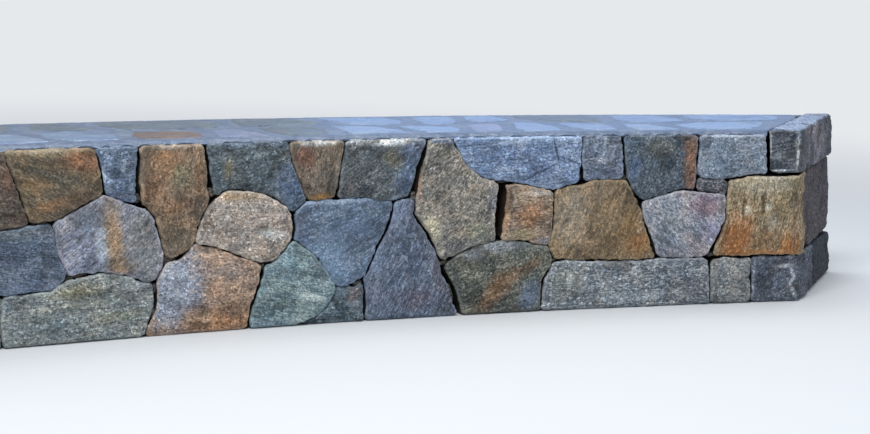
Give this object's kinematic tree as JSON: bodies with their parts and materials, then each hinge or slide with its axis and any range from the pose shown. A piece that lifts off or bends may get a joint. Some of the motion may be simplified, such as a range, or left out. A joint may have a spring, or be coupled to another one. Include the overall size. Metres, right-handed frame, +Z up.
{
  "type": "dry stone garden wall",
  "caption": "Low curved dry stone garden wall: fitted rubble face, splayed right end, quoins, rough back and flagged, mortared top.",
  "frame": {"origin": "middle of the wall on the ground, halfway through its thickness at half the length of the front face", "axes": "+Z up, front face towards -Y, +X along the wall towards the splayed end"},
  "size_m": [3.471, 0.5866, 0.53],
  "materials": {
    "grey_granite": "split face, fine speckle, damp",
    "blue_slate": "cleft face, fine layers, damp",
    "dark_gneiss": "rough split, pale veins",
    "rusty_schist": "iron-stained, coarse grain",
    "olive_granite": "weathered, streaked",
    "pink_granite": "banded, coarse grain",
    "rough_rubble": "rough split, mixed",
    "packing": "rough",
    "mortar": "floated, wet",
    "flagstone": "cleft, wet"
  },
  "bodies": {
    "root": {"base_stone_1": "grey_granite", "base_stone_2": "olive_granite", "base_stone_3": "pink_granite", "base_stone_4": "olive_granite", "base_stone_5": "dark_gneiss", "base_stone_6": "blue_slate", "base_stone_7": "dark_gneiss", "base_stone_8": "grey_granite", "base_stone_9": "grey_granite", "middle_stone_1": "olive_granite", "middle_stone_2": "blue_slate", "middle_stone_3": "pink_granite", "middle_stone_4": "pink_granite", "middle_stone_5": "blue_slate", "middle_stone_6": "rusty_schist", "middle_stone_7": "rusty_schist", "middle_stone_8": "pink_granite", "middle_quoin_right": "rusty_schist", "top_stone_1": "grey_granite", "top_stone_2": "rusty_schist", "top_stone_3": "rusty_schist", "top_stone_4": "blue_slate", "top_stone_5": "rusty_schist", "top_stone_6": "dark_gneiss", "top_stone_7": "rusty_schist", "top_stone_8": "dark_gneiss", "top_stone_9": "olive_granite", "top_stone_10": "blue_slate", "top_stone_11": "grey_granite", "top_stone_12": "dark_gneiss", "top_stone_13": "grey_granite", "pinning_stone": "dark_gneiss", "base_quoin_left": "blue_slate", "middle_quoin_left": "rusty_schist", "top_quoin_left": "blue_slate", "base_quoin_right": "dark_gneiss", "top_quoin_right": "dark_gneiss", "end_base_stone": "dark_gneiss", "end_middle_stone": "dark_gneiss", "back_base_course": "rough_rubble", "back_middle_course": "rough_rubble", "back_top_course": "rough_rubble", "hearting": "packing", "cap_mortar": "mortar", "cap_flags": "flagstone"}
  },
  "joints": []
}
